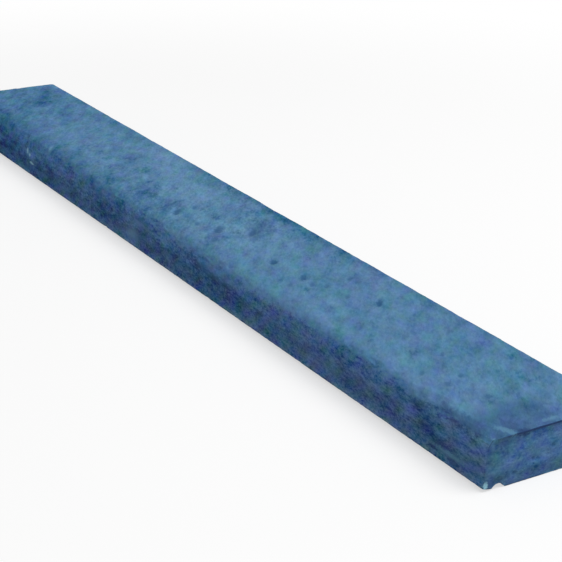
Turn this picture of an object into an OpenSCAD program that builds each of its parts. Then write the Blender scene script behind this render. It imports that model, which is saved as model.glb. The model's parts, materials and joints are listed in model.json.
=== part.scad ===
// Concrete wall coping: one precast unit, cast upside down in a tapered mould.
// X runs along the wall, Y across it, and Z is up.
// The origin is the middle of the bed face, which lies in the plane z = 0.

/* [Unit] */
// Length along the wall
coping_length = 1200; // [300:10:1800]
// Width across the feet of the two long sides
coping_width = 150; // [120:1:300]
// Height from the bed face to the top face
coping_height = 50; // [40:1:90]

/* [Mould shape] */
// How far each long side leans in on its way from its foot to the top
side_taper = 2; // [0:0.5:6]
// Radius of the two long top arrises
arris_radius = 9; // [3:0.5:16]
// Radius of the top arrises across the two ends
end_arris_radius = 2.5; // [1:0.5:10]
// Radius of the four upright corners
corner_radius = 5; // [1:0.5:10]

/* [Drips] */
// Width of each drip groove at its mouth
drip_width = 14; // [8:0.5:20]
// Depth of each drip groove
drip_depth = 5; // [3:0.5:7]
// Distance from the foot of a long side to the middle of its groove
drip_setback = 16; // [12:0.5:24]
// How far the foot of a long side stops above the bed face
lip_rise = 3; // [0:0.5:5]

/* [Hidden] */

$fn = 96;
overshoot = 10; // how far cutting shapes run past the solid
margin = 0.02;  // rounded shapes meet flat ones this far past touching, so that they cross cleanly

half_length = coping_length / 2;
half_width = coping_width / 2;

// the groove is a segment of this circle, whose centre lies below the bed face
drip_radius = (pow(drip_width / 2, 2) + pow(drip_depth, 2)) / (2 * drip_depth);
drip_drop = drip_radius - drip_depth;
drip_y = half_width - drip_setback;

// a long side runs from its foot up to the top face and leans in by this angle
side_height = coping_height - lip_rise;
side_lean = atan(side_taper / side_height);

// centre of the long arris, which touches the leaning side and the top face
arris_z = coping_height - arris_radius;
arris_y = half_width
    - (arris_z - lip_rise) * tan(side_lean) - arris_radius / cos(side_lean);
arris_foot = [arris_y, arris_z]
    + (arris_radius - margin) * [cos(side_lean), sin(side_lean)];

module both_ways(axis) {
    children();
    mirror(axis) children();
}

// half of the cross-section, in y and z, before its groove is cut
module half_section() {
    polygon([
        [0, 0],
        [drip_y, 0],
        [half_width, lip_rise],
        arris_foot,
        [arris_y, coping_height],
        [0, coping_height]
    ]);
    translate([arris_y, arris_z]) circle(arris_radius);
}

module section() {
    difference() {
        both_ways([1, 0]) half_section();
        both_ways([1, 0]) translate([drip_y, -drip_drop]) circle(drip_radius);
    }
}

// seen from the front, in x and z: flat ends and rounded top arrises
module elevation() {
    straight = half_length - end_arris_radius;
    shoulder = coping_height + margin - end_arris_radius;
    both_ways([1, 0]) {
        translate([0, -overshoot]) square([straight, shoulder + end_arris_radius + overshoot]);
        translate([0, -overshoot]) square([half_length, shoulder + overshoot]);
        translate([straight, shoulder]) circle(end_arris_radius);
    }
}

// one long side and the two upright corners beside it, in x and along the lean
module flank_outline() {
    straight = half_length + margin - corner_radius;
    depth = coping_width + coping_height;
    both_ways([1, 0]) {
        square([straight, depth]);
        translate([0, corner_radius]) square([straight + corner_radius, depth]);
        translate([straight, corner_radius]) circle(corner_radius);
    }
}

module flank() {
    translate([0, -half_width - margin, lip_rise])
        rotate([-side_lean, 0, 0])
        translate([0, 0, -overshoot - lip_rise])
        linear_extrude(coping_height + 2 * overshoot)
        flank_outline();
}

module coping() {
    color([0.34, 0.49, 0.63])
    intersection() {
        translate([-half_length - overshoot, 0, 0])
            rotate([90, 0, 90])
            linear_extrude(coping_length + 2 * overshoot)
            section();
        translate([0, half_width + overshoot, 0])
            rotate([90, 0, 0])
            linear_extrude(coping_width + 2 * overshoot)
            elevation();
        flank();
        mirror([0, 1, 0]) flank();
    }
}

coping();
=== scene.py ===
# Looks of a concrete wall coping: one casting, worn and mottled, on a white floor.

import json
import math

import bpy
from mathutils import Matrix, Vector

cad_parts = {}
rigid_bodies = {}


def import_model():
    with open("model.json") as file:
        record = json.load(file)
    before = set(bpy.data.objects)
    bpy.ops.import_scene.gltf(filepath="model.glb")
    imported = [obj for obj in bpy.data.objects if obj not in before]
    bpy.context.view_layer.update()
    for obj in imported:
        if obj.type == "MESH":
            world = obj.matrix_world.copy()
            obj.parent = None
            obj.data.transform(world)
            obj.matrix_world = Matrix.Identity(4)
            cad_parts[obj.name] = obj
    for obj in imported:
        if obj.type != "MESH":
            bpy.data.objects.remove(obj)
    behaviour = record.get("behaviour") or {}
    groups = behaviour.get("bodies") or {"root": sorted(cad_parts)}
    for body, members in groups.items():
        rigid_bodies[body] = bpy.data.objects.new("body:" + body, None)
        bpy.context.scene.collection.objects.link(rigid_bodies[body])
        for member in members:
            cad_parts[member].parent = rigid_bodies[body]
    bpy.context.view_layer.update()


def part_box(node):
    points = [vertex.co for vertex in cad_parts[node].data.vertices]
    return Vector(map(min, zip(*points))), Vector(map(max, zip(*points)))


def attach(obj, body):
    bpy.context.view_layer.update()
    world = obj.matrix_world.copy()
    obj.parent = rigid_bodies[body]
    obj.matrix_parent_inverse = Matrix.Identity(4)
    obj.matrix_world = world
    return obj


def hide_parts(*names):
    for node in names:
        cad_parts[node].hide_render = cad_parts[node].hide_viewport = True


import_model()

mm = 0.001  # the node trees work in millimetres, the scene in metres
low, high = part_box("coping")
length, width, height = [(end - start) / mm for start, end in zip(low, high)]


# Node trees: a Wire is one socket, and arithmetic on wires adds Math nodes.

class Wire:
    def __init__(self, graph, socket):
        self.graph = graph
        self.socket = socket

    def math(self, operation, *others):
        return self.graph.add("ShaderNodeMath", {"operation": operation}, [self, *others])

    def __add__(self, other):
        return self.math("ADD", other)

    def __sub__(self, other):
        return self.math("SUBTRACT", other)

    def __mul__(self, other):
        return self.math("MULTIPLY", other)

    def __truediv__(self, other):
        return self.math("DIVIDE", other)

    def __radd__(self, other):
        return self + other

    def __rmul__(self, other):
        return self * other

    def __rsub__(self, other):
        return self.graph.add("ShaderNodeMath", {"operation": "SUBTRACT"}, [other, self])

    def size(self):
        return self.math("ABSOLUTE")

    def sign(self):
        return self.math("SIGN")

    def root(self):
        return self.math("SQRT")

    def atLeast(self, least):
        return self.math("MAXIMUM", least)

    def atMost(self, most):
        return self.math("MINIMUM", most)

    def ease(self, start, end, first=0.0, last=1.0):  # a smooth step from first to last
        return self.graph.add(
            "ShaderNodeMapRange",
            {"interpolation_type": "SMOOTHSTEP"},
            {"Value": self, "From Min": start, "From Max": end, "To Min": first, "To Max": last},
        )


class Graph:
    def __init__(self, tree):
        self.tree = tree
        tree.nodes.clear()

    def add(self, kind, settings=None, sockets=None, output=0):
        node = self.tree.nodes.new(kind)
        for name, value in (settings or {}).items():
            setattr(node, name, value)
        pairs = sockets.items() if isinstance(sockets, dict) else enumerate(sockets or [])
        for name, value in pairs:
            socket = node.inputs[name] if isinstance(name, int) else self.pick(node.inputs, name)
            if isinstance(value, Wire):
                self.tree.links.new(value.socket, socket)
            else:
                socket.default_value = value
        if isinstance(output, int):
            live = [socket for socket in node.outputs if socket.enabled]
            return Wire(self, live[output]) if live else None
        return Wire(self, self.pick(node.outputs, output))

    def pick(self, sockets, name):
        return next(socket for socket in sockets if socket.name == name and socket.enabled)

    def split(self, vector):
        node = self.add("ShaderNodeSeparateXYZ", None, [vector]).socket.node
        return [Wire(self, socket) for socket in node.outputs]

    def join(self, x, y, z):
        return self.add("ShaderNodeCombineXYZ", None, [x, y, z])

    def vector(self, operation, *values, output=0):
        return self.add("ShaderNodeVectorMath", {"operation": operation}, list(values), output)

    def stretched(self, place, x, y, z):  # a small number draws the pattern out along that axis
        return self.vector("MULTIPLY", place, (x, y, z))

    def turned(self, place, degrees):  # about Z
        return self.add("ShaderNodeVectorRotate", {"rotation_type": "Z_AXIS"},
                        {"Vector": place, "Angle": math.radians(degrees)})

    def noise(self, place, grain, detail, roughness, seed):
        # grain is the size of one blotch in millimetres, and the middle value is 0
        return self.add(
            "ShaderNodeTexNoise",
            {"noise_dimensions": "4D"},
            {"Vector": place, "W": seed, "Scale": 1.0 / grain,
             "Detail": detail, "Roughness": roughness},
        ) - 0.5

    def cells(self, place, grain, seed):
        # distance to the nearest cell's middle in millimetres, and two random numbers for the cell
        node = self.add(
            "ShaderNodeTexVoronoi",
            {"voronoi_dimensions": "4D"},
            {"Vector": place, "W": seed, "Scale": 1.0 / grain},
        ).socket.node
        chance = self.split(Wire(self, node.outputs["Color"]))
        return Wire(self, node.outputs["Distance"]) * grain, chance[0], chance[1]

    def patch(self, place, middle, radii, turn, fray, edge):
        # 1 inside an egg-shaped patch and 0 outside it, with a frayed edge; it is turned about Z
        offset = self.vector("SUBTRACT", place, middle)
        if turn:
            offset = self.turned(offset, -turn)
        reach = self.vector("LENGTH", self.vector("DIVIDE", offset, radii), output="Value")
        return (reach + fray).ease(1.0 + edge, 1.0 - edge)

    def blend(self, amount, first, second):  # colours
        return self.add(
            "ShaderNodeMix",
            {"data_type": "RGBA", "clamp_factor": True},
            {"Factor": amount, "A": first, "B": second},
        )


# Marks of the casting. Each has its middle, as fractions of the half length, of the half width and of
# the height, its radii along, across and up in mm, its turn about Z in degrees and its strength.

slant = -37.0  # turn about Z of the streaks across the top, in degrees

# air voids and sunken spots, sunk a little into the surface and darkened inside with painted shade
hollows = [
    # top
    ((-0.042, -0.11, 1.0), (8, 3.2, 5), -42, 0.63),
    ((-0.037, -0.45, 1.0), (12, 4.5, 5), -42, 0.91),
    ((0.040, -0.44, 1.0), (8, 3.2, 5), -42, 0.63),
    ((0.089, -0.30, 1.0), (13, 5, 5), -42, 0.84),
    ((0.132, -0.55, 1.0), (8, 3.0, 4), -42, 0.63),
    ((0.132, 0.11, 1.0), (12, 4.5, 5), -42, 0.84),
    ((0.276, -0.23, 1.0), (7.5, 4.4, 4), -52, 1.05),
    ((0.365, -0.19, 1.0), (9, 4.0, 4), -42, 0.91),
    ((0.381, -0.49, 1.0), (7, 3.0, 4), -42, 0.56),
    ((0.397, -0.20, 1.0), (7, 3.2, 4), -42, 0.63),
    ((0.406, 0.38, 1.0), (7, 3.2, 4), -42, 0.63),
    ((0.416, -0.07, 1.0), (7, 3.0, 4), -42, 0.56),
    ((0.471, -0.02, 1.0), (7, 3.0, 4), -42, 0.56),
    ((0.520, 0.24, 1.0), (10, 3.3, 4), -42, 1.10),
    ((0.736, -0.03, 1.0), (5.5, 2.6, 4), -42, 0.63),
    ((0.774, -0.57, 1.0), (7, 3.0, 4), -42, 0.63),
    ((0.811, -0.20, 1.0), (5.5, 2.6, 4), -42, 0.63),
    ((0.824, -0.48, 1.0), (6, 3.0, 4), -42, 0.56),
    ((0.886, -0.26, 1.0), (7, 5.5, 4), -50, 0.70),
    # near end
    ((1.0, -0.55, 0.20), (3, 2.2, 2.0), 0, 1.17),
    ((1.0, -0.265, 0.38), (3, 2.4, 2.4), 0, 1.05),
    ((1.0, -0.202, 0.36), (3, 2.0, 2.0), 0, 0.84),
    ((1.0, 0.026, 0.54), (3, 2.6, 2.0), 0, 0.98),
    ((1.0, 0.31, 0.33), (3, 2.8, 2.6), 0, 0.84),
    ((1.0, 0.60, 0.62), (3, 2.6, 2.4), 0, 0.84),
]

# wet or soiled places, dark without relief; the marked ones at the near end are painted shade and
# shadow
stains = [
    # top
    ((0.124, 0.31, 1.0), (13, 6, 5), -42, 0.30),
    ((0.13, 0.18, 1.0), (36, 17, 6), slant, 0.20),
    ((0.455, 0.73, 1.0), (12, 6, 6), slant, 0.20),
    ((0.840, -0.84, 1.0), (16, 6, 6), 0, 0.16),
    # the next four darken the band across the top's near end further, as painted shade
    ((0.915, -0.27, 1.0), (9, 7, 4), 0, 0.24),
    ((0.940, -0.03, 1.0), (12, 7, 4), 0, 0.20),
    ((0.970, -0.54, 1.0), (10, 7, 4), 0, 0.18),
    ((0.970, -0.10, 1.0), (10, 10, 4), 0, 0.14),
    # front side
    ((-0.45, -0.99, 0.40), (70, 6, 7), 0, 0.20),
    ((-0.02, -0.99, 0.40), (90, 6, 8), 0, 0.20),
    ((0.20, -0.99, 0.62), (34, 6, 5), 0, 0.38),
    ((0.35, -0.99, 0.50), (30, 6, 4), 0, 0.20),
    ((0.62, -0.99, 0.45), (90, 6, 7), 0, 0.20),
    ((0.83, -0.99, 0.78), (26, 6, 6), 0, 0.30),
    ((0.855, -0.99, 0.46), (20, 6, 4), 0, 0.32),
    ((0.880, -0.99, 0.20), (5, 6, 1.8), 0, 0.60),
    ((0.885, -0.99, 0.35), (16, 6, 4.5), 0, 0.32),
    ((0.925, -0.99, 0.36), (16, 6, 3.5), 0, 0.34),
    ((0.93, -0.92, 0.98), (34, 8, 8), 0, 0.45),
    ((0.934, -0.99, 0.17), (10, 6, 2.6), 0, 0.42),
    # near end
    ((1.0, -0.72, 0.84), (4, 5, 6), 0, 0.35),
    # painted shadow: the thick dark blot on the shadow line under the flash
    ((1.0, -0.46, 0.95), (4, 6, 3.6), 0, 1.0),
]

# rubbed, pale places
bloom = [
    # top
    ((-0.52, -0.84, 1.0), (9, 2.4, 5), slant, 0.45),
    ((0.975, -0.68, 1.0), (4, 3.5, 3), 0, 0.20),
    ((0.985, -0.65, 1.0), (9, 3, 3), 20, 0.28),
    ((0.988, 0.02, 1.0), (3, 11, 3), 0, 0.26),
    ((0.994, 0.55, 1.0), (3, 16, 4), 0, 0.18),
    # front side
    ((-0.24, -0.96, 0.90), (30, 5, 5), 0, 0.12),
    ((-0.095, -0.99, 0.34), (11, 5, 4), 0, 0.26),
    ((-0.07, -0.99, 0.70), (10, 5, 4), 0, 0.20),
    ((0.22, -0.99, 0.84), (26, 6, 7), 0, 0.18),
    ((0.917, -0.99, 0.27), (18, 5, 1.7), 0, 0.46),
    ((0.991, -0.91, 0.98), (4, 3.5, 3), -30, 0.42),
    # near end
    ((1.0, -0.90, 0.84), (3, 1.6, 5), 0, 0.22),
]

# chips down to fresh concrete
chips = [
    # front side
    ((-0.606, -0.99, 0.64), (2.6, 4, 3.4), 0, 0.70),
    ((-0.595, -0.99, 0.58), (2.6, 4, 2.4), 0, 0.75),
    ((-0.583, -0.99, 0.38), (6, 4, 1.4), 0, 0.70),
    # near end
    ((1.0, -0.96, 0.12), (4.0, 2.2, 3.6), 0, 0.75),
]

# wide clouds, lighter where the strength is above 0 and darker where it is below
clouds = [
    # top
    ((-0.875, 0.28, 1.0), (26, 15, 9), slant, -0.30),
    ((-0.87, 0.0, 1.0), (110, 70, 9), 0, -0.05),
    ((-0.76, 0.10, 1.0), (24, 9, 9), 0, -0.13),
    ((-0.75, 0.30, 1.0), (18, 13, 9), slant, -0.20),
    ((-0.62, -0.15, 1.0), (22, 17, 9), 0, 0.10),
    ((-0.60, -0.28, 1.0), (50, 10, 9), 0, 0.13),
    ((-0.60, 0.30, 1.0), (60, 24, 9), 0, 0.13),
    ((-0.38, -0.29, 1.0), (28, 11, 9), slant, 0.12),
    ((-0.36, 0.09, 1.0), (34, 9, 9), slant, -0.10),
    ((-0.30, 0.64, 1.0), (66, 24, 9), -10, 0.34),
    ((-0.29, -0.65, 1.0), (30, 9, 9), 0, -0.14),
    ((-0.18, -0.37, 1.0), (34, 15, 9), slant, -0.18),
    ((-0.175, -0.28, 1.0), (24, 9, 9), slant, -0.16),
    ((-0.12, 0.19, 1.0), (52, 22, 9), 5, 0.28),
    ((-0.06, -0.43, 1.0), (22, 11, 9), slant, -0.12),
    ((-0.06, 0.65, 1.0), (26, 9, 9), 0, -0.10),
    ((0.10, -0.03, 1.0), (55, 15, 9), 0, 0.24),
    ((0.10, 0.84, 1.0), (60, 9, 9), 0, -0.13),
    ((0.12, 0.33, 1.0), (26, 8, 9), slant, -0.12),
    ((0.15, 0.95, 1.0), (120, 12, 9), 0, -0.26),
    ((0.25, 0.0, 1.0), (40, 30, 9), 0, 0.08),
    ((0.27, -0.20, 1.0), (10, 9, 9), 0, -0.10),
    ((0.52, -0.55, 1.0), (50, 12, 9), 0, -0.08),
    ((0.52, 0.84, 1.0), (40, 9, 9), 0, -0.12),
    ((0.53, 0.24, 1.0), (16, 8, 9), slant, -0.12),
    ((0.60, -0.69, 1.0), (240, 14, 9), 0, 0.13),
    # front side
    ((-0.70, -0.99, 0.78), (24, 6, 5), 0, 0.24),
    ((-0.69, -0.99, 0.56), (30, 6, 13), 0, -0.15),
    ((-0.60, -0.99, 0.38), (30, 6, 8), 0, -0.30),
    ((-0.59, -0.99, 0.52), (18, 6, 11), 0, 0.42),
    ((-0.50, -0.99, 0.78), (28, 6, 6), 0, 0.30),
    ((-0.50, -0.99, 0.60), (26, 6, 4), 0, -0.25),
    ((-0.40, -0.99, 0.44), (20, 6, 5), 0, 0.22),
    ((-0.40, -0.99, 0.94), (24, 6, 6), 0, 0.12),
    ((-0.40, -0.99, 0.28), (24, 6, 5), 0, -0.22),
    ((-0.33, -0.99, 0.38), (18, 6, 11), 0, 0.30),
    ((-0.30, -0.99, 0.92), (24, 8, 6), 0, -0.12),
    ((-0.22, -0.99, 0.54), (40, 6, 9), 0, -0.28),
    ((-0.20, -0.99, 0.80), (30, 6, 9), 0, -0.12),
    ((-0.20, -0.99, 0.62), (18, 6, 6), 0, 0.22),
    ((-0.10, -0.99, 0.32), (14, 6, 12), 0, 0.48),
    ((-0.10, -0.99, 0.92), (26, 8, 8), 0, 0.20),
    ((0.0, -0.99, 0.72), (30, 6, 9), 0, 0.14),
    ((0.0, -0.99, 0.30), (24, 6, 6), 0, 0.24),
    ((0.20, -0.99, 0.62), (30, 6, 5), 0, -0.22),
    ((0.27, -0.99, 0.42), (36, 6, 7), 0, -0.18),
    ((0.27, -0.99, 0.96), (120, 9, 9), 0, 0.24),
    ((0.36, -0.99, 0.72), (50, 6, 8), 0, 0.20),
    ((0.42, -0.99, 0.28), (26, 6, 6), 0, -0.24),
    ((0.52, -0.99, 0.40), (60, 6, 10), 0, 0.26),
    ((0.53, -0.99, 0.20), (40, 6, 9), 0, 0.32),
    ((0.60, -0.99, 0.70), (26, 6, 9), 0, -0.22),
    ((0.70, -0.99, 0.47), (24, 6, 6), 0, 0.24),
    ((0.78, -0.99, 0.80), (26, 6, 5), 0, -0.22),
    ((0.80, -0.99, 0.40), (12, 6, 7), 0, 0.32),
    ((0.86, -0.99, 0.42), (20, 6, 9), 0, -0.20),
    ((0.90, -0.99, 0.20), (20, 6, 3), 0, 0.25),
    ((0.917, -0.99, 0.84), (12, 6, 8), 0, 0.26),
    ((0.942, -0.99, 0.97), (18, 8, 4), 0, 0.24),
    ((0.955, -0.99, 0.54), (16, 5, 10), 0, 0.12),
    # near end
    ((1.0, -0.84, 0.64), (6, 10, 14), 0, -0.12),
    ((1.0, -0.53, 0.58), (6, 9, 6), 0, 0.16),
    ((1.0, -0.34, 0.26), (6, 12, 5), 0, -0.18),
    ((1.0, -0.30, 0.80), (6, 26, 5), 0, -0.12),
    ((1.0, -0.16, 0.40), (6, 14, 6), 0, 0.26),
    ((1.0, 0.0, 0.92), (6, 14, 7), 0, -0.18),
]


def drifted(g, place):  # draws a pattern out along the streaks of the top
    return g.stretched(g.turned(place, -slant), 0.45, 1.0, 1.0)


def markSum(g, marks, place, half, fray, edge, merge="MAXIMUM"):
    total = 0.0
    for (along, across, up), radii, turn, strength in marks:
        middle = g.join(half[0] * along, half[1] * across, half[2] * 2.0 * up)
        spot = g.patch(place, middle, radii, turn, fray, edge) * strength
        total = spot.math(merge, total)
    return total


def airVoids(g, place, half, seed):  # 1 in the middle of an air void, scattered or listed
    distance, chance, share = g.cells(drifted(g, place), 11.0, seed)
    present = chance.ease(0.62, 0.66)  # in about a third of the cells
    scattered = distance.ease(1.8 + share * 2.6, 0.0) * present * 0.5
    fray = g.noise(place, 5.0, 3.0, 0.8, seed + 6.0) * 1.8
    return scattered.math("MAXIMUM", markSum(g, hollows, place, half, fray, 0.6))


# The cast body. It follows the solid's section, with wear and with its own corners and end arrises.

castSizes = {
    "Rings": 440,
    "Columns": 74,
    "Rows": 27,
    "Side Taper": 2.0,
    "Lip Rise": 3.0,
    "Drip Width": 14.0,
    "Drip Depth": 5.0,
    "Drip Setback": 16.0,
    "Arris Radius": 9.0,
    "Least Radius": 4.0,
    "Front Wear": 3.5,
    "Back Wear": -4.0,
    "Front Wander": 10.0,
    "Back Wander": 4.0,
    "Corner Radius": 2.5,
    "Corner Growth": 7.0,
    "End Arris Radius": 1.2,
    "Flash Thickness": 0.8,
    "Flash Overhang": 0.8,
    "Flash Root": 1.4,
    "Wave": 0.7,
    "Lump": 0.8,
    "Crumble": 2.0,
    "Streak": 0.7,
    "Grain": 0.3,
    "Void Depth": 1.6,
    "Seed": 3.0,
}

# soft or crisp lengths of the front arris: place along as a fraction of the half length, half span
# in mm and change of radius in mm
arrisSpots = [
    (-0.28, 50.0, -5.0),
    (0.05, 60.0, 3.0),
    (0.22, 45.0, 6.0),
    (0.33, 40.0, 4.0),
    (0.95, 40.0, -3.0),
]


def addInputs(tree, values):
    for name, value in values.items():
        kind = "NodeSocketInt" if isinstance(value, int) else "NodeSocketFloat"
        tree.interface.new_socket(name, in_out="INPUT", socket_type=kind)
    tree.interface.new_socket("Concrete", in_out="INPUT", socket_type="NodeSocketMaterial")
    tree.interface.new_socket("Geometry", in_out="OUTPUT", socket_type="NodeSocketGeometry")


def roundedPair(first, second, firstEdge, secondEdge, radius):
    # moves the corner of two outward distances onto an arc that touches both edges
    a = (first - (firstEdge - radius)).atLeast(0.0)
    b = (second - (secondEdge - radius)).atLeast(0.0)
    reach = (a * a + b * b).root().atLeast(1e-6)
    pull = a.math("MAXIMUM", b) / reach - 1.0
    return first + a * pull, second + b * pull


def arcReach(edge, radius, climb):  # how far out an arris still reaches, at a climb up its arc
    climb = climb.atLeast(0.0).atMost(radius)
    return edge - radius + (radius * radius - climb * climb).atLeast(0.0).root()


def arrisWear(g, size, along, front):
    # the change of radius of a long arris; front is 1 on the front one and 0 on the back one
    ripple = g.noise(g.join(along, front * 400.0, 0.0), 60.0, 2.0, 0.6, size("Seed"))
    change = size("Back Wear") + ripple * size("Back Wander")
    extraWander = size("Front Wander") - size("Back Wander")
    more = size("Front Wear") - size("Back Wear") + ripple * extraWander
    for place, halfSpan, extra in arrisSpots:
        offset = (along - size("Length") * 0.5 * place).size()
        more = more + offset.ease(halfSpan, 0.0) * extra
    return change + more * front


def crowded(share):  # spaces even steps from -1 to 1 closer towards both
    more = 0.15
    return share * (1.0 + more) - share * share * share * more


def flashDepth(g, across, endSign, thickness, seed):
    # how far down the end the thin mould flash hangs
    ragged = g.noise(g.join(across, endSign * 90.0, 0.0), 14.0, 3.0, 0.6, seed)
    return thickness * (1.0 + ragged * 3.0)


def shapedCasting(g, size):
    halfLength = size("Length") * 0.5
    halfWidth = size("Width") * 0.5
    tall = size("Height")
    along, across, up = g.split(g.add("GeometryNodeInputPosition"))
    endSign = along.sign()
    sideSign = across.sign()

    # spacing: rings crowd at the ends, columns and rows crowd at the arrises
    crowd = 0.01
    fromEnd = 1.0 - along.size()
    x = halfLength * (1.0 - fromEnd * fromEnd * (1.0 + crowd) / (fromEnd + crowd))
    y = halfWidth * crowded(across.size())
    z = tall * (0.5 + 0.5 * crowded(up))

    # underside: the lip rises outwards, and the drip groove is an arc
    dripY = halfWidth - size("Drip Setback")
    lip = size("Lip Rise") * ((y - dripY) / size("Drip Setback")).atLeast(0.0).atMost(1.0)
    dripHalf = size("Drip Width") * 0.5
    dripDepth = size("Drip Depth")
    dripRadius = (dripHalf * dripHalf + dripDepth * dripDepth) / (dripDepth * 2.0)
    fromDrip = y - dripY
    arc = (dripRadius * dripRadius - fromDrip * fromDrip).atLeast(0.0).root()
    groove = arc - (dripRadius - dripDepth)
    under = lip.math("MAXIMUM", groove).atLeast(0.0)
    z = under + z * (tall - under) / tall

    # the long sides lean in
    climb = (z - size("Lip Rise")).atLeast(0.0) / (tall - size("Lip Rise"))
    edgeY = halfWidth - size("Side Taper") * climb
    y = y * edgeY / halfWidth

    # long arrises, softer in some places than in others
    front = 0.5 - sideSign * 0.5
    worn = size("Arris Radius") + arrisWear(g, size, x * endSign, front)
    radius = worn.atLeast(size("Least Radius"))
    y, z = roundedPair(y, z, edgeY, tall, radius)

    # upright corners that widen as they climb, then the top arris across each end
    reachY = arcReach(edgeY, radius, z - (tall - radius))
    cornerRadius = size("Corner Radius") + size("Corner Growth") * front * z / tall
    x, y = roundedPair(x, y, halfLength, reachY, cornerRadius)
    reachZ = arcReach(tall, radius, y - (edgeY - radius))
    x, z = roundedPair(x, z, halfLength, reachZ, size("End Arris Radius"))

    # thin mould flash along the top of each end, over a slightly sunken end face
    hang = flashDepth(g, y * sideSign, endSign, size("Flash Thickness"), size("Seed"))
    belowTop = reachZ - z
    sunken = belowTop.ease(hang, hang + size("Flash Root")) * size("Flash Overhang")
    onEnd = fromEnd.ease(0.002, 0.0)
    return g.join((x - onEnd * sunken) * endSign, y * sideSign, z)


# patterns of the relief: size of one blotch in mm, detail, roughness, and the noise at which the
# surface starts to sink and at which it has sunk all the way
reliefPatterns = {
    "wave": (120.0, 1.0, 0.5, -0.1, 0.25),
    "lump": (26.0, 2.0, 0.6, -0.02, 0.25),
    "grain": (7.0, 3.0, 0.7, -0.1, 0.25),
    "longStreak": (8.0, 3.0, 0.6, -0.02, 0.2),
    "crossStreak": (6.0, 3.0, 0.6, -0.02, 0.2),
    "crumble": (14.0, 2.0, 0.7, 0.0, 0.22),
}


def workedDepth(g, size):
    # how deep the surface is worked at each point
    place = g.add("GeometryNodeInputPosition")
    seed = size("Seed")
    nx, ny, nz = g.split(g.add("GeometryNodeInputNormal"))
    onSide = ny.size().ease(0.6, 0.95)
    onEnd = nx.size().ease(0.6, 0.95)
    onArris = (ny * nz * -1.0).ease(0.12, 0.4)  # mostly the front arris
    aboveLip = g.split(place)[2].ease(2.0, 9.0)
    calmBack = g.split(place)[1].ease(30.0, 62.0, 1.0, 0.3)

    def sunk(name, order, at=place):
        grain, detail, roughness, start, full = reliefPatterns[name]
        return g.noise(at, grain, detail, roughness, seed + order).ease(start, full)

    wave = sunk("wave", 1.0) * size("Wave") * onSide
    lump = sunk("lump", 2.0) * size("Lump") * calmBack
    grain = sunk("grain", 3.0) * size("Grain")
    crumble = sunk("crumble", 7.0) * size("Crumble") * onArris
    longStreak = sunk("longStreak", 4.0, g.stretched(place, 0.1, 1.0, 1.0))
    crossStreak = sunk("crossStreak", 5.0, g.stretched(place, 1.0, 0.14, 1.0))
    streak = (longStreak * onSide + crossStreak * onEnd) * size("Streak")

    half = [size("Length") * 0.5, size("Width") * 0.5, size("Height") * 0.5]
    fray = g.noise(place, 6.0, 2.0, 0.6, seed + 6.0) * 1.6
    chipped = markSum(g, chips, place, half, fray, 0.4)
    deep = (airVoids(g, place, half, seed) + chipped * 0.5) * size("Void Depth")
    return (wave + lump + streak) * aboveLip + grain + crumble + deep


def castTree():
    tree = bpy.data.node_groups.new("castCoping", "GeometryNodeTree")
    addInputs(tree, {"Length": length, "Width": width, "Height": height, **castSizes})
    g = Graph(tree)
    given = g.add("NodeGroupInput").socket.node

    def size(name):
        return Wire(g, given.outputs[name])

    counts = {"Vertices X": size("Rings"), "Vertices Y": size("Columns"), "Vertices Z": size("Rows")}
    body = g.add("GeometryNodeMeshCube", None, {"Size": (2.0, 2.0, 2.0), **counts}, output="Mesh")
    shaped = shapedCasting(g, size)
    body = g.add("GeometryNodeSetPosition", None, {"Geometry": body, "Position": shaped})

    # everything is worked inwards and kept within the box
    place = g.add("GeometryNodeInputPosition")
    inward = g.add("ShaderNodeVectorMath", {"operation": "SCALE"},
                   {"Vector": g.add("GeometryNodeInputNormal"), "Scale": workedDepth(g, size)})
    reach = g.join(size("Length") * 0.5, size("Width") * 0.5, size("Height"))
    worked = g.vector("MINIMUM", g.vector("SUBTRACT", place, inward), reach)
    floorCorner = g.join(size("Length") * -0.5, size("Width") * -0.5, 0.0)
    worked = g.vector("MULTIPLY", g.vector("MAXIMUM", worked, floorCorner), (mm, mm, mm))
    body = g.add("GeometryNodeSetPosition", None, {"Geometry": body, "Position": worked})
    body = g.add("GeometryNodeSetShadeSmooth", None, {"Geometry": body, "Shade Smooth": True})
    body = g.add("GeometryNodeRealizeInstances", None, {"Geometry": body})
    body = g.add("GeometryNodeSetMaterial", None, {"Geometry": body, "Material": size("Concrete")})
    out = tree.nodes.new("NodeGroupOutput")
    tree.links.new(body.socket, out.inputs["Geometry"])
    return tree


def bakedPiece(name, tree, values):
    holder = bpy.data.objects.new(name, bpy.data.meshes.new(name + "Start"))
    bpy.context.scene.collection.objects.link(holder)
    modifier = holder.modifiers.new("cast", "NODES")
    modifier.node_group = tree
    for item in tree.interface.items_tree:
        if item.item_type == "SOCKET" and item.in_out == "INPUT":
            modifier[item.identifier] = values[item.name]
    bpy.context.view_layer.update()
    evaluated = holder.evaluated_get(bpy.context.evaluated_depsgraph_get())
    mesh = bpy.data.meshes.new_from_object(evaluated)
    holder.modifiers.remove(modifier)
    start = holder.data
    holder.data = mesh
    mesh.name = name
    bpy.data.meshes.remove(start)
    return holder


# The concrete.

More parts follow.
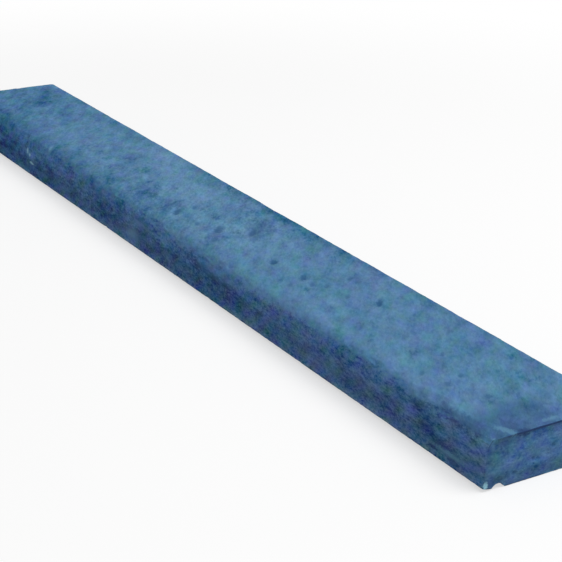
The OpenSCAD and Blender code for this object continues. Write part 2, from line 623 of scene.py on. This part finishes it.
concreteLook = {
    "top": (0.0795, 0.209, 0.370, 1.0),
    # front and side are partly painted shade: bluer copies of the top's colour, darker on the front,
    # for the faces turned from the key light; the front is also dirtier
    "front": (0.0655, 0.188, 0.427, 1.0),
    "side": (0.0620, 0.190, 0.390, 1.0),
    # painted shade darkening the top across its near end
    "damp": (0.038, 0.114, 0.255, 1.0),
    # real stains, and the painted shadow under the flash at the top of each end
    "dark": (0.016, 0.050, 0.155, 1.0),
    # painted shade inside the air voids
    "pit": (0.0145, 0.088, 0.215, 1.0),
    "rubbed": (0.200, 0.470, 0.630, 1.0),
    "fresh": (0.42, 0.80, 0.95, 1.0),
    "roughness": 0.88,
    "specular": 0.3,
    "bump": 0.7,
    "cloud": 0.50,
    "mottle": 1.25,
    "topGrain": 0.85,
    "sideGrain": 1.47,
    "streak": 0.8,
    "smudge": 0.24,
    "dust": 0.45,
    "violet": 0.48,
    "green": 0.42,
    "blue": 0.65,
}

# patterns of the colour: size of one blotch in mm, detail, roughness and seed
patterns = {
    "cloud": (60.0, 1.0, 0.8, 1.0),
    "sideMottle": (12.0, 2.0, 0.85, 2.0),
    "topMottle": (13.0, 2.0, 0.7, 2.5),
    "sideGrain": (3.0, 2.0, 0.9, 3.0),
    "topGrain": (2.8, 2.0, 0.9, 3.5),
    "longStreak": (9.0, 2.0, 0.6, 4.0),
    "crossStreak": (8.0, 2.0, 0.6, 5.0),
    "sideHue": (10.0, 0.5, 0.4, 7.0),
    "topHue": (11.0, 1.0, 0.5, 7.0),
    "sideBlue": (9.0, 0.5, 0.5, 8.0),
    "topBlue": (10.0, 2.0, 0.6, 8.0),
}

# smudges: spacing in mm and seed
smudgeCells = [(15.0, 6.0), (30.0, 9.0)]

# the hue of the sides is mottled along these directions, so that it looks even from the near corner
hueAcross = (0.58, 0.84, 0.0)
hueUp = (-0.33, 0.20, 0.95)

# strength of the mottling of the hue on the sides, what the front adds to it, and on the top
hueShares = {
    "Hue": (1.25, 0.75, 1.15),
    "Blue": (1.0, 0.8, 1.2),
}

# how strongly each channel follows the tone on the long sides, what the ends add to that, and how
# strongly it follows the tone on the top, the fine grain on the sides and the fine grain on the top
channelShares = {
    "red": (1.85, -0.4, 1.7, 2.1, 1.9),
    "green": (1.0, 0.0, 1.0, 1.15, 1.15),
    "blue": (0.6, -0.24, 0.75, 0.68, 0.85),
}

# how the concrete changes over the casting: the places in mm, along, across or up, where each change
# starts and ends, and its values there
changes = {
    "lowFrontGain": (30.0, 16.0, 0.28, 0.6),
    "topGain": (-300.0, 200.0, 1.04, 0.82),
    "topMiddleGain": (260.0, 60.0, 0.0, 0.32),
    "soilHeight": (-500.0, 0.0, 30.0, 34.0),
    "soilShare": (-450.0, 0.0, 0.74, 0.82),
    "sideFoot": (14.0, 5.0, 1.0, 1.20),
    # painted shade under the flash along the top of each end
    "endTop": (39.0, 47.0, 1.0, 0.74),
    "endFoot": (16.0, 8.0, 1.0, 0.72),
    "endSides": (44.0, 60.0, 1.0, 0.82),
    "frontSoil": (32.0, 62.0, 1.0),
    "frontSoilShare": (-400.0, 250.0, 0.76, 0.92),
    "backSoil": (46.0, 68.0, 1.0),
    "backSoilShare": (60.0, 300.0, 0.84, 0.96),
    "backRim": (67.0, 72.0, 1.0, 0.82),
    "cornerGreen": (535.0, 575.0, 0.0, 0.12),
    "farRed": (-450.0, -100.0, 0.80, 1.0),
    "nearRed": (60.0, 300.0, 1.0, 1.06),
    "topFarRed": (-560.0, -300.0, 0.92, 1.0),
    "farBlue": (-100.0, -450.0, 1.0, 1.04),
    "dustFoot": (9.0, 3.0, 0.0, 1.0),
    "dustBrow": (69.0, 74.0, 0.0, 1.0),
    # where the painted shade across the top's near end lies
    "dampEnd": (545.0, 568.0, 0.0, 1.0),
    "dampBack": (30.0, 4.0, 0.0, 0.8),
    "dampFront": (-73.0, -62.0, 0.0, 1.0),
    # where the painted shadow line under the flash lies
    "creaseEdge": (2.1, 0.7, 0.0, 1.0),
    "creaseFront": (-62.0, -40.0, 0.3, 1.0),
}
soilFade = 12.0  # the height in mm over which the soil on the sides grows to its full strength
shadowLineDrop = 0.8  # how far below the middle of the flash its painted shadow line lies, in mm


class Skin:  # the places, faces and patterns that every layer of the concrete shares
    def __init__(self, g):
        coordinates = g.add("ShaderNodeTexCoord").socket.node
        perMetre = (1.0 / mm, 1.0 / mm, 1.0 / mm)
        self.place = g.vector("MULTIPLY", Wire(g, coordinates.outputs["Object"]), perMetre)
        self.half = [length / 2, width / 2, height / 2]
        self.px, self.py, self.pz = g.split(self.place)
        self.nx, ny, nz = g.split(Wire(g, coordinates.outputs["Normal"]))
        self.drift = drifted(g, self.place)

        # drawn out level on the sides and along the streaks on the top
        level = g.stretched(self.place, 0.47, 0.95, 1.2)
        soft = g.stretched(self.place, 0.65, 0.85, 1.3)
        sideMottle = g.noise(level, *patterns["sideMottle"])
        sideGrain = g.noise(soft, *patterns["sideGrain"])
        self.onTop = (nz + sideMottle * 0.6 + sideGrain * 0.3).ease(0.4, 0.92)
        self.onEnd = self.nx.size().ease(0.6, 0.9)
        self.onFront = ny.ease(-0.3, -0.7)
        self.mottle = self.faced(sideMottle, g.noise(self.drift, *patterns["topMottle"]))
        sideGrain = sideGrain * concreteLook["sideGrain"] * (1.0 - self.onEnd * 0.3)
        topGrain = g.noise(self.drift, *patterns["topGrain"]) * concreteLook["topGrain"]
        self.grain = self.faced(sideGrain, topGrain)
        self.ragged = self.mottle * 40.0 + self.grain * 12.0  # moves the edges of bands, in mm

    def faced(self, side, top):  # one value on the sides and another one on the top
        return side + (top - side) * self.onTop


def patternGain(skin):  # how strongly the concrete is patterned at each place
    side = 1.3 - skin.onEnd * 0.2 + skin.onFront * skin.pz.ease(*changes["lowFrontGain"])
    fromMiddle = (skin.px + 20.0).size()
    top = skin.px.ease(*changes["topGain"]) + fromMiddle.ease(*changes["topMiddleGain"])
    return skin.faced(side, top)


def bareTone(g, skin, gain):  # the brightness of the clean concrete
    look = concreteLook
    longStreak = g.noise(g.stretched(skin.place, 0.2, 1.0, 1.0), *patterns["longStreak"])
    crossStreak = g.noise(g.stretched(skin.place, 1.0, 0.25, 1.0), *patterns["crossStreak"])
    streak = longStreak * (1.0 - skin.onEnd) + crossStreak * skin.onEnd
    streak = streak * (1.0 - skin.onTop) * look["streak"]
    cloud = g.noise(skin.drift, *patterns["cloud"]) * look["cloud"] * (1.0 + skin.onEnd)
    drawnClouds = markSum(g, clouds, skin.place, skin.half, skin.mottle * 1.5, 0.9, "ADD")
    return 1.0 + (cloud + skin.mottle * look["mottle"]) * gain + streak + drawnClouds


def sideSoilAndShade(skin):  # soil on the lower long sides; on each end, painted shade under the flash along its top, and darker towards its foot and sides
    climbed = skin.pz + skin.ragged * 0.15
    start = skin.px.ease(*changes["soilHeight"])
    share = skin.px.ease(*changes["soilShare"])
    lowSide = (skin.pz + skin.ragged * 0.4).ease(start, start - soilFade, 1.0, share)
    lowSide = lowSide * climbed.ease(*changes["sideFoot"])
    # painted shade under the flash along the top of each end, and darker towards its foot
    endEdges = climbed.ease(*changes["endTop"]) * climbed.ease(*changes["endFoot"])
    endEdges = endEdges * (skin.py + skin.ragged * 0.2).size().ease(*changes["endSides"])
    return skin.faced(lowSide * (1.0 - skin.onEnd) + endEdges * skin.onEnd, 1.0)


def topSoil(skin):  # along the top's long edges, most at the far end in front and halfway behind
    frontShare = skin.px.ease(*changes["frontSoilShare"])
    backShare = skin.px.size().ease(*changes["backSoilShare"])
    front = (skin.ragged * 0.3 - skin.py).ease(*changes["frontSoil"], frontShare)
    back = (skin.ragged * 0.3 + skin.py).ease(*changes["backSoil"], backShare)
    return skin.faced(1.0, front * back * skin.py.ease(*changes["backRim"]))


def smudges(g, skin):  # the share of the light that they take; about half of the cells have one
    total = 0.0
    for spacing, seed in smudgeCells:
        distance, chance, share = g.cells(skin.drift, spacing, seed)
        reach = spacing * (0.22 + share * 0.25)
        spot = (distance + skin.mottle * spacing + skin.grain * 8.0).ease(reach, 0.0)
        total = spot * chance.ease(0.45, 0.5) + total
    return total * concreteLook["smudge"]


def tinted(g, skin, tone, gain):
    # the hue drifts between green and violet, and towards blue; what is lighter is greyer too
    look = concreteLook
    axes = [g.vector("DOT_PRODUCT", skin.place, axis, output="Value") for axis in (hueAcross, hueUp)]
    leaning = g.join(*axes, 0.0)

    def drifting(name):
        sideGain, frontMore, topGain = hueShares[name]
        side = g.noise(leaning, *patterns["side" + name]) * (sideGain + skin.onFront * frontMore)
        return skin.faced(side, g.noise(skin.drift, *patterns["top" + name]) * topGain)

    def following(name):
        side, endMore, top, sideFine, topFine = channelShares[name]
        wide = (tone - 1.0) * skin.faced(side + skin.onEnd * endMore, top)
        return 1.0 + wide + skin.grain * gain * skin.faced(sideFine, topFine)

    atCorner = skin.onFront * skin.px.ease(*changes["cornerGreen"])
    hue = drifting("Hue") + skin.faced(atCorner, 0.0)
    lessRed = hue * look["violet"]
    lessBlue = lessRed * skin.faced(0.28 + skin.onEnd * 0.3, 0.45)
    red = following("red") - lessRed
    green = following("green") + hue * look["green"]
    blue = following("blue") + drifting("Blue") * look["blue"] - lessBlue
    sideRed = skin.px.ease(*changes["farRed"]) * skin.px.ease(*changes["nearRed"])
    redAlong = skin.faced(sideRed, skin.px.ease(*changes["topFarRed"]))
    return g.join(red * redAlong, green, blue * skin.px.ease(*changes["farBlue"]))


def dusted(g, skin):  # pale dust greys the foot of the long sides and the back arris
    foot = skin.pz.ease(*changes["dustFoot"]) * (1.0 - skin.onEnd) * concreteLook["dust"]
    brow = skin.py.ease(*changes["dustBrow"]) * concreteLook["dust"]
    return g.join(1.0 + foot + brow * 0.8, 1.0 + foot * 0.35 + brow * 0.2, 1.0 - brow * 0.15)


def faceColourWithShade(g, skin):  # the top's own colour, with painted shade: the sides and front are bluer copies of it, darker on the front, and the top is darker across its near end
    look = concreteLook
    # painted shade: a ragged dark band across the front half of the top's near end
    damp = (skin.px + skin.ragged * 1.5).ease(*changes["dampEnd"])
    damp = damp * (skin.py + skin.ragged).ease(*changes["dampBack"])
    damp = damp * (skin.py + skin.ragged * 0.3).ease(*changes["dampFront"])
    topColour = g.blend(damp, look["top"], look["damp"])
    # painted shade: the sides and front take their shaded copies of the top's colour
    return g.blend(skin.onTop, g.blend(skin.onFront, look["side"], look["front"]), topColour)


def flashShadowLine(g, skin):  # painted shadow: a dark line under the flash at the top of each end, where the lip shades the end face
    hang = flashDepth(g, skin.py, skin.nx.sign(), castSizes["Flash Thickness"], castSizes["Seed"])
    offset = height - hang * 0.5 - shadowLineDrop - skin.pz + skin.grain
    shadowLine = offset.size().ease(*changes["creaseEdge"])
    return shadowLine * skin.onEnd * skin.py.ease(*changes["creaseFront"])


def marked(g, skin, colour):  # lays the casting's marks over a colour
    look = concreteLook
    fray = skin.mottle * 2.2 + skin.grain * 1.4
    voidShade = airVoids(g, skin.place, skin.half, castSizes["Seed"]) + skin.grain * 0.8
    soiledAndShadowed = markSum(g, stains, skin.place, skin.half, fray, 0.6)
    # the painted shadow under the flash joins the real stains
    soiledAndShadowed = soiledAndShadowed.math("MAXIMUM", flashShadowLine(g, skin))
    rubbed = markSum(g, bloom, skin.place, skin.half, fray + skin.grain * 4.0, 0.6)
    chipped = markSum(g, chips, skin.place, skin.half, fray, 0.4)
    # painted shade darkens the inside of the air voids
    colour = g.blend(voidShade.ease(0.05, 1.1) * 0.9, colour, look["pit"])
    colour = g.blend(soiledAndShadowed, colour, look["dark"])
    colour = g.blend(rubbed, colour, look["rubbed"])
    return g.blend(chipped, colour, look["fresh"])


def concrete():
    material = bpy.data.materials.new("castConcrete")
    material.use_nodes = True
    g = Graph(material.node_tree)
    look = concreteLook
    skin = Skin(g)
    gain = patternGain(skin)
    tone = bareTone(g, skin, gain) * topSoil(skin) * (1.0 - smudges(g, skin))
    soilAndShade = sideSoilAndShade(skin)
    colour = g.vector("MULTIPLY", faceColourWithShade(g, skin), tinted(g, skin, tone, gain))
    colour = g.vector("MULTIPLY", colour, dusted(g, skin))
    # soil on the sides, and painted shade along the top of each end
    colour = g.vector("MULTIPLY", colour, g.join(soilAndShade, soilAndShade, soilAndShade))
    colour = marked(g, skin, colour)

    relief = skin.mottle * 1.5 + skin.grain * skin.faced(0.55, 0.9)
    bump = g.add("ShaderNodeBump", None, {"Strength": look["bump"], "Distance": mm, "Height": relief})
    surface = g.add(
        "ShaderNodeBsdfPrincipled", None,
        {"Base Color": colour, "Roughness": look["roughness"], "Specular IOR Level": look["specular"],
         "Normal": bump},
    )
    g.add("ShaderNodeOutputMaterial", None, {"Surface": surface})
    return material


castConcrete = concrete()
print("concrete:", len(castConcrete.node_tree.nodes), "nodes")
coping = bakedPiece("castCoping", castTree(), {
    "Length": length, "Width": width, "Height": height, "Concrete": castConcrete, **castSizes,
})
coping.data.materials.clear()
coping.data.materials.append(castConcrete)
print("cast body:", len(coping.data.vertices), "points,", len(coping.data.polygons), "faces")

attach(coping, "root")
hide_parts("coping")


# The studio.

studio = {
    "floorSize": 30.0,
    "floorDrop": 0.0003,
    "floorTone": 0.5,
    "worldTone": 0.35,
    "whiteFrom": 0.7,
    "whiteTo": 1.5,
    "whiteLeast": 0.6,
    "keyPower": 192.0,
    "keySize": 3.75,
    "keyDistance": 5.0,
    "keyDirection": (0.41, 0.36, 0.9),
}


def floorMaterial():
    material = bpy.data.materials.new("paleFloor")
    material.use_nodes = True
    g = Graph(material.node_tree)
    direct = g.add("ShaderNodeLightPath", output="Is Camera Ray")
    mirrored = g.add("ShaderNodeLightPath", output="Is Glossy Ray")
    seen = direct.math("MAXIMUM", mirrored)
    tone = studio["floorTone"]
    matt = g.add("ShaderNodeBsdfDiffuse", None, {"Color": (tone, tone, tone, 1.0)})
    pale = g.add("ShaderNodeBsdfDiffuse", None, {"Color": (1.0, 1.0, 1.0, 1.0)})
    white = g.add("ShaderNodeEmission", None, {"Color": (1.0, 1.0, 1.0, 1.0), "Strength": 1.0})

    # near the casting a share of the floor takes its shadow, and further off it is plain white
    distance = g.vector("LENGTH", g.add("ShaderNodeTexCoord", output="Object"), output="Value")
    whiteness = distance.ease(studio["whiteFrom"], studio["whiteTo"], studio["whiteLeast"], 1.0)
    lit = g.add("ShaderNodeMixShader", None, [whiteness, pale, white])
    surface = g.add("ShaderNodeMixShader", None, [seen, matt, lit])
    g.add("ShaderNodeOutputMaterial", None, {"Surface": surface})
    return material


def addFloor():
    half = studio["floorSize"] / 2
    mesh = bpy.data.meshes.new("floor")
    corners = [(-half, -half), (half, -half), (half, half), (-half, half)]
    mesh.from_pydata([(x, y, -studio["floorDrop"]) for x, y in corners], [], [(0, 1, 2, 3)])
    floor = bpy.data.objects.new("floor", mesh)
    bpy.context.scene.collection.objects.link(floor)
    mesh.materials.append(floorMaterial())


def addWorld():
    world = bpy.data.worlds.new("studioWorld")
    bpy.context.scene.world = world
    world.use_nodes = True
    g = Graph(world.node_tree)
    direct = g.add("ShaderNodeLightPath", output="Is Camera Ray")
    tone = studio["worldTone"]
    soft = g.add("ShaderNodeBackground", None, {"Color": (1.0, 1.0, 1.0, 1.0), "Strength": tone})
    white = g.add("ShaderNodeBackground", None, {"Color": (1.0, 1.0, 1.0, 1.0), "Strength": 1.0})
    surface = g.add("ShaderNodeMixShader", None, [direct, soft, white])
    g.add("ShaderNodeOutputWorld", None, {"Surface": surface})


def addKey():
    data = bpy.data.lights.new("key", "AREA")
    data.shape = "SQUARE"
    data.size = studio["keySize"]
    data.energy = studio["keyPower"]
    key = bpy.data.objects.new("key", data)
    bpy.context.scene.collection.objects.link(key)
    away = Vector(studio["keyDirection"]).normalized()
    key.location = away * studio["keyDistance"]
    key.rotation_euler = away.to_track_quat("Z", "Y").to_euler()


cameraPlace = {
    "aim": (0.1675, -0.0085, 0.0260),
    "distance": 1.679,
    "azimuth": 57.13,
    "elevation": 22.17,
    "roll": 2.06,
    "lens": 99.12,
}


def addCamera():
    data = bpy.data.cameras.new("camera")
    data.lens = cameraPlace["lens"]
    data.sensor_width = 36.0
    camera = bpy.data.objects.new("camera", data)
    bpy.context.scene.collection.objects.link(camera)
    azimuth = math.radians(cameraPlace["azimuth"])
    elevation = math.radians(cameraPlace["elevation"])
    back = Vector((
        math.sin(azimuth) * math.cos(elevation),
        -math.cos(azimuth) * math.cos(elevation),
        math.sin(elevation),
    ))
    right = Vector((math.cos(azimuth), math.sin(azimuth), 0.0))
    turned = Matrix((right, back.cross(right), back)).transposed()
    turned = turned @ Matrix.Rotation(math.radians(cameraPlace["roll"]), 3, "Z")
    place = Vector(cameraPlace["aim"]) + back * cameraPlace["distance"]
    camera.matrix_world = Matrix.Translation(place) @ turned.to_4x4()
    bpy.context.scene.camera = camera


addFloor()
addWorld()
addKey()
addCamera()
bpy.context.scene.view_settings.view_transform = "Standard"
print("studio: floor, world, key light and camera")
